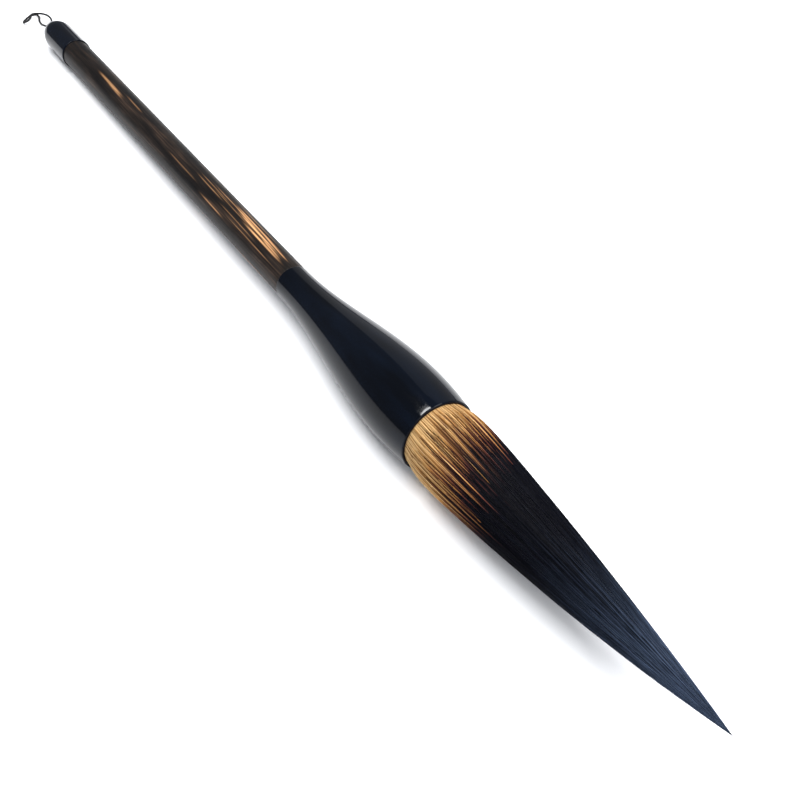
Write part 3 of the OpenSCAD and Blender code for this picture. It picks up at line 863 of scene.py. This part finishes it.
class BRUSH_OT_cover_hairs(bpy.types.Operator):
    """Lays tapering hairs over the tuft, from inside the mouth to where each one ends"""

    bl_idname = "brush.cover_hairs"
    bl_label = "Cover hairs"

    def execute(self, context):
        sizes, hair = context.scene.brush_sizes, context.scene.brush_hair
        rng = np.random.default_rng(SEED + 1)
        clumps = Clumps(np.random.default_rng(SEED))
        borders = piece_borders()
        material = bpy.data.materials["Dressed_Badger_Hair"]
        traits = self.traits(rng, hair, sizes)
        # they start inside the bell, and the last ones reach just past the point
        edges = [-2 * MM, *borders, POINT_A + 0.4 * MM]
        for index, (start, end) in enumerate(zip(edges[:-1], edges[1:])):
            piece = self.hairs(f"Hair_Cover_{index}", start, end, traits, sizes, hair, clumps)
            dress(piece, material)
            carry(piece, index)
            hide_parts("hair_cover_root" if index == 0 else f"hair_cover_{index}")
        return {"FINISHED"}

    def traits(self, rng, hair, sizes):
        """Each hair's own numbers. Ends are chosen so that the hairs left at any place are in
        proportion to the tuft's girth there. Neighbours stick together in twos as a strand,
        which has about one tone and loses its gold at about one place."""
        n = hair.count
        strand = np.arange(n) // 2
        places = np.linspace(0, POINT_A, 400)
        girth = tuft_radius(places, sizes)
        girth = np.minimum.accumulate(girth) / girth[0]
        share = rng.uniform(0, 1, n)
        end = np.interp(-share, -girth, places) + rng.normal(0, 2 * MM, n)
        reach = rng.uniform(0.985, 1.002, n) * POINT_A
        runs_out = rng.uniform(0, 1, n) < 0.22  # these reach the tuft's point
        tone = rng.choice([0.0, 0.12, 0.35, 0.8, 1.0], n, p=[0.3, 0.2, 0.14, 0.16, 0.2])[strand]
        shift = rng.normal(0, 4.2 * MM, n)[strand] + rng.normal(0, 1.2 * MM, n)
        late = rng.uniform(0, 1, n)
        return {
            "theta": 2 * np.pi * (np.arange(n) + rng.uniform(-0.5, 0.5, n)) / n,
            "end": np.where(runs_out, reach, end).clip(16 * MM, POINT_A),
            "lift": rng.beta(1.6, 3.0, n) * 0.2 * MM,
            "width": hair.width * rng.uniform(0.65, 1.35, n),
            "wander": rng.normal(0, 0.35 * MM, n),
            "waves": rng.uniform(0.5, 1.6, n),
            "phase": rng.uniform(0, 2 * np.pi, n),
            "tone": tone + rng.uniform(-0.1, 0.1, n),
            # a few hairs keep the brown far into the dark
            "shift": shift + rng.uniform(2, 9, n) * MM * (late < 0.06),
        }

    def hairs(self, name, start, end, traits, sizes, hair, clumps):
        """Three-sided tapering hairs between start and end.

        A hair runs at the angle theta + wander sin(waves 2 pi a/L + phase) / r, at the radius
        R(a) + 0.5 ridge (crest - 1.2) + its own lift - 0.35 width, and its last 0.38 narrows to
        0.12 of its width.
        """
        alive = traits["end"] > start + 1 * MM
        t = {key: value[alive][:, None] for key, value in traits.items()}
        count = max(4, int(round((end - start) / HAIR_STEP)))
        a = np.minimum(stations(start, end, count + 1), t["end"])
        r0 = tuft_radius(a, sizes)
        bulk = smooth(r0 / (4 * MM))
        aside = t["wander"] * np.sin(t["waves"] * 2 * np.pi * a / POINT_A + t["phase"])
        theta = t["theta"] + aside * smooth(a / (12 * MM)) / np.maximum(r0, 2 * MM)
        crest = clumps.height(a, theta)
        free = smooth(a / (8 * MM))
        lift = hair.ridge * 0.5 * (crest - 1.2) * smooth(r0 / (5 * MM)) + t["lift"] * bulk
        narrow = smooth((t["end"] - a) / (NARROWING * t["end"]))
        width = t["width"] * (TIP_SHARE + (1 - TIP_SHARE) * narrow)
        width = width * (POINT_SHARE + (1 - POINT_SHARE) * smooth(r0 / (3.5 * MM)))
        r = r0 + lift * free - width * SUNK
        # corners: left, right and top, as (aside, outward) shares of the width
        corners = np.array([[0.5, 0.0], [0.0, 0.55], [-0.5, 0.0]])
        sideways = theta[..., None] + corners[:, 0] * (width / np.maximum(r, 0.3 * MM))[..., None]
        outward = r[..., None] + corners[:, 1] * width[..., None]
        points = (place(a[..., None], np.maximum(outward, 0.01 * MM), sideways)
                  + sway_of(a[..., None], hair.sway))
        hairs, rings = a.shape
        index = np.arange(hairs * rings * 3).reshape(hairs, rings, 3)
        here, there = index[:, :-1], index[:, 1:]
        # the corners go clockwise seen from the front, so walls run backwards round the hair
        walls = np.stack([here, there, np.roll(there, -1, 2), np.roll(here, -1, 2)], -1)
        kept = (a[:, 1:] - a[:, :-1]) > 0.005 * MM
        walls = walls[kept].reshape(-1, 4)
        last = kept.sum(1)
        backs = index[:, 0]
        fronts = index[np.arange(hairs), last][:, ::-1]
        used = np.unique(np.concatenate([walls.ravel(), backs.ravel(), fronts.ravel()]))
        renumber = np.zeros(index.size, np.int64)
        renumber[used] = np.arange(len(used))
        piece = new_mesh(name, points.reshape(-1, 3)[used], renumber[walls], renumber[backs],
                         renumber[fronts])
        # painted shade: in the troughs between clumps the gold ends sooner, on the crests later
        shift = gold_shift(a, theta) + t["shift"] + CREST_SHIFT * crest
        # painted shade and sheen: hairs low between the clumps are painted darker and those on the
        # crests paler, most of all near the point
        tone = t["tone"] - (0.2 + 0.45 * smooth(a / POINT_A)) * crest
        store_hair(piece, used // 3, a, shift, tone, t["theta"], sizes.mouth_d / 2)
        return piece


# ---- pieces inside, which keep their CAD shape ----


def set_glue(name, hex_pale, hex_deep):
    """Hide glue or rosin, set: amber and clear at thin edges, with small bubbles."""
    material = new_material(name, linear(hex_pale))
    along = object_place(material)
    # tones 2 mm wide, and bubbles of 0.6 mm
    tones = node(material, "TexNoise", {
        "Vector": node(material, "Mapping", {"Vector": along, "Scale": stretch(2 * MM, 2)}),
        "Scale": 1.0, "Detail": 3.0})
    bubbles = node(material, "TexVoronoi", {"Vector": along, "Scale": 1 / (0.6 * MM)}, "Distance")
    colour = node(material, "ValToRGB", {"Fac": tones}, stops=[
        (0.3, linear(hex_deep)), (0.7, linear(hex_pale))])
    return finish_surface(material, {
        "Base Color": colour, "Roughness": 0.25, "IOR": 1.53, "Subsurface Weight": 0.2,
        "Subsurface Scale": 0.5 * MM}, bubbles, 0.03 * MM)


def linen_thread():
    """Waxed linen thread: pale, with the slant of its twist every 0.5 mm."""
    material = new_material("Waxed_Linen_Thread", linear("cdbf9f"))
    slant = node(material, "TexWave", {
        "Vector": object_place(material), "Scale": 1 / (0.5 * MM) / 20, "Distortion": 1.0},
        "Fac", bands_direction="DIAGONAL")
    colour = node(material, "ValToRGB", {"Fac": slant}, stops=[
        (0.1, linear("8f8160")), (0.8, linear("ded2b4"))])
    return finish_surface(material, {"Base Color": colour, "Roughness": 0.6,
                                     "Sheen Weight": 0.2}, slant, 0.05 * MM)


def knotted_cord(finish):
    """The same black cord where it is knotted inside the cap and where it leaves it."""
    material = new_material("Twisted_Cord_Ends", finish.cord)
    # a strand crosses the cord's side each third of its pitch
    twist = node(material, "TexWave", {
        "Vector": object_place(material), "Scale": CORD_PLIES / CORD_PITCH / 20,
        "Distortion": 0.5}, "Fac", bands_direction="DIAGONAL")
    colour = node(material, "ValToRGB", {"Fac": twist}, stops=[
        (0.2, scaled(finish.cord, 0.4)), (0.8, scaled(finish.cord, 1.6))])
    return finish_surface(material, {"Base Color": colour, "Roughness": 0.75, "IOR": 1.5,
                                     "Sheen Weight": 0.25}, twist, 0.08 * MM)


class BRUSH_OT_inside(bpy.types.Operator):
    """Gives the glue, the resin, the winding and the cord's ends their materials"""

    bl_idname = "brush.inside"
    bl_label = "Inside pieces"

    def execute(self, context):
        glue = set_glue("Set_Hide_Glue", "c79a5c", "8a5f2c")
        rosin = set_glue("Melted_Rosin", "8a5a24", "4a2a10")
        cord = knotted_cord(context.scene.brush_finish)
        materials = {"cap_glue": glue, "bell_glue": glue, "root_glue_bed": glue,
                     "root_resin": rosin, "root_winding": linen_thread(),
                     "loop_knot": cord, "loop_ends": cord}
        for name, material in materials.items():
            for slot in frame["nodes"][name].material_slots:
                slot.material = material
        return {"FINISHED"}


# ---- floor and light ----


class BRUSH_OT_stage(bpy.types.Operator):
    """Lays the pale floor and hangs the soft lights"""

    bl_idname = "brush.stage"
    bl_label = "Floor and light"

    def execute(self, context):
        stage = context.scene.brush_stage
        half = 6.0
        corners = [[-half, -half, 0], [half, -half, 0], [half, half, 0], [-half, half, 0]]
        floor = new_mesh("Floor", corners, [[0, 1, 2, 3]])
        material = new_material("Matt_Paper_Backdrop", stage.floor)
        # a faint unevenness, half a metre across
        cloud = node(material, "TexNoise", {"Vector": node(material, "TexCoord", {}, "Object"),
                                            "Scale": 2.0})
        colour = node(material, "ValToRGB", {"Fac": cloud}, stops=[
            (0.3, scaled(stage.floor, 0.97)), (0.7, stage.floor)])
        finish_surface(material, {"Base Color": colour, "Roughness": 0.95,
                                  "Specular IOR Level": 0.1})
        floor.data.materials.append(material)
        floor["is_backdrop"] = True

        world = bpy.data.worlds.new("Studio")
        world.use_nodes = True
        world.node_tree.nodes["Background"].inputs["Color"].default_value = linear("eef3ff")
        world.node_tree.nodes["Background"].inputs["Strength"].default_value = stage.sky
        context.scene.world = world
        context.scene.view_settings.view_transform = "Standard"

        # (name, direction from the mouth, distance, width, height, radiance)
        lights = [
            ("Front_Softbox", (0.62, 0.0, 0.78), 1.4, 1.3, 1.8, 4.2),
            ("Window", (-0.37, -0.14, 0.92), 1.0, 0.08, 0.52, 62.0),
            ("Sheen_Softbox", (-0.12, 0.42, 0.88), 1.1, 0.34, 0.4, 11.0),
            ("Side_Softbox", (-0.6, 0.66, 0.42), 1.2, 1.1, 1.0, 0.45),
        ]
        for name, direction, distance, width, height, radiance in lights:
            direction = np.array(direction) / np.linalg.norm(direction)
            data = bpy.data.lights.new(name, "AREA")
            data.shape, data.size, data.size_y = "RECTANGLE", width, height
            # a rectangle's radiance is its power over pi times its area
            data.energy = radiance * math.pi * width * height
            lamp = bpy.data.objects.new(name, data)
            side = np.cross([0.0, 1.0, 0.0], direction)
            side /= np.linalg.norm(side)
            lamp.matrix_world = standing(side, np.cross(direction, side), direction,
                                         MOUTH + direction * distance)
            context.scene.collection.objects.link(lamp)
        return {"FINISHED"}


OPERATORS = (BRUSH_OT_camera, BRUSH_OT_loop, BRUSH_OT_handle, BRUSH_OT_horn,
             BRUSH_OT_hair_body, BRUSH_OT_cover_hairs, BRUSH_OT_inside, BRUSH_OT_stage)
SETTINGS = {"brush_sizes": BrushSizes, "brush_hair": BrushHair, "brush_finish": BrushFinish,
            "brush_stage": BrushStage}


class BRUSH_PT_panel(bpy.types.Panel):
    """Lists the brush's pieces and settings"""

    bl_idname = "BRUSH_PT_panel"
    bl_label = "Calligraphy Brush"
    bl_space_type = "VIEW_3D"
    bl_region_type = "UI"
    bl_category = "Brush"

    def draw(self, context):
        for operator in OPERATORS:
            self.layout.operator(operator.bl_idname)
        for group in SETTINGS:
            settings = getattr(context.scene, group)
            for key in settings.__annotations__:
                self.layout.prop(settings, key)


def register():
    for group in SETTINGS.values():
        bpy.utils.register_class(group)
    for name, group in SETTINGS.items():
        setattr(bpy.types.Scene, name, bpy.props.PointerProperty(type=group))
    for operator in (*OPERATORS, BRUSH_PT_panel):
        bpy.utils.register_class(operator)


def unregister():
    for operator in (*OPERATORS, BRUSH_PT_panel):
        bpy.utils.unregister_class(operator)
    for name, group in SETTINGS.items():
        delattr(bpy.types.Scene, name)
        bpy.utils.unregister_class(group)


def main():
    register()
    for operator in OPERATORS:
        family, name = operator.bl_idname.split(".")
        getattr(getattr(bpy.ops, family), name)()
    boxes = {"cad": CAD_BOX, "visual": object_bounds()}
    boxes = {name: [list(map(float, corner)) for corner in box] for name, box in boxes.items()}


if __name__ == "__main__":
    main()
